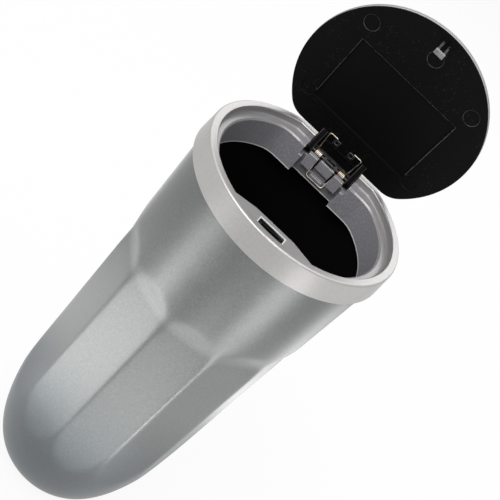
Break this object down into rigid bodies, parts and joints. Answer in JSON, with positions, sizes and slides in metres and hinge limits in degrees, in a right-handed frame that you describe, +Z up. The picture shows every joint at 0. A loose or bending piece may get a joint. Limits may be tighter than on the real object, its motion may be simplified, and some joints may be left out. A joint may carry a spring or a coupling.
{
  "type": "car waste bin",
  "caption": "Small upright car waste bin: faceted tapered body, flared collar with a recessed seat, sprung flip lid standing open on a rear hinge, push latch at the front.",
  "frame": {"origin": "centre of the flat base, on the standing surface", "axes": "+Z up along the body, +Y towards the hinge, -Y towards the latch, +X along the hinge pin"},
  "size_m": [0.0812, 0.0812, 0.2426],
  "materials": {
    "body_paint": "satin metallic grey paint with fine sparkle, black inside",
    "collar_silver": "satin silver paint",
    "lid_black": "fine-textured black",
    "latch_black": "smooth black",
    "pin_steel": "drawn steel",
    "spring_steel": "spring wire with a warm tint"
  },
  "bodies": {
    "bin": {"body_shell": "body_paint", "collar": "collar_silver", "hinge_pin": "pin_steel", "hinge_spring": "spring_steel", "latch_case": "latch_black", "latch_spring": "spring_steel"},
    "lid": {"lid_cover": "collar_silver", "lid_plate": "lid_black"},
    "slider": {"latch_slider": "latch_black"}
  },
  "joints": [
    {"name": "lid_hinge", "type": "hinge", "parent": "bin", "child": "lid", "pos_m": [0, 0.0323, 0.1747], "axis": [1, 0, 0], "range_deg": [0, 82.5], "stiffness_Nm_per_rad": 0.008, "springref_deg": -34.38, "deforming": ["hinge_spring"]},
    {"name": "latch_push", "type": "slide", "parent": "bin", "child": "slider", "axis": [0, 0, -1], "range_m": [0, 0.0028], "stiffness_N_per_m": 150, "springref_m": -0.001, "deforming": ["latch_spring"]}
  ]
}
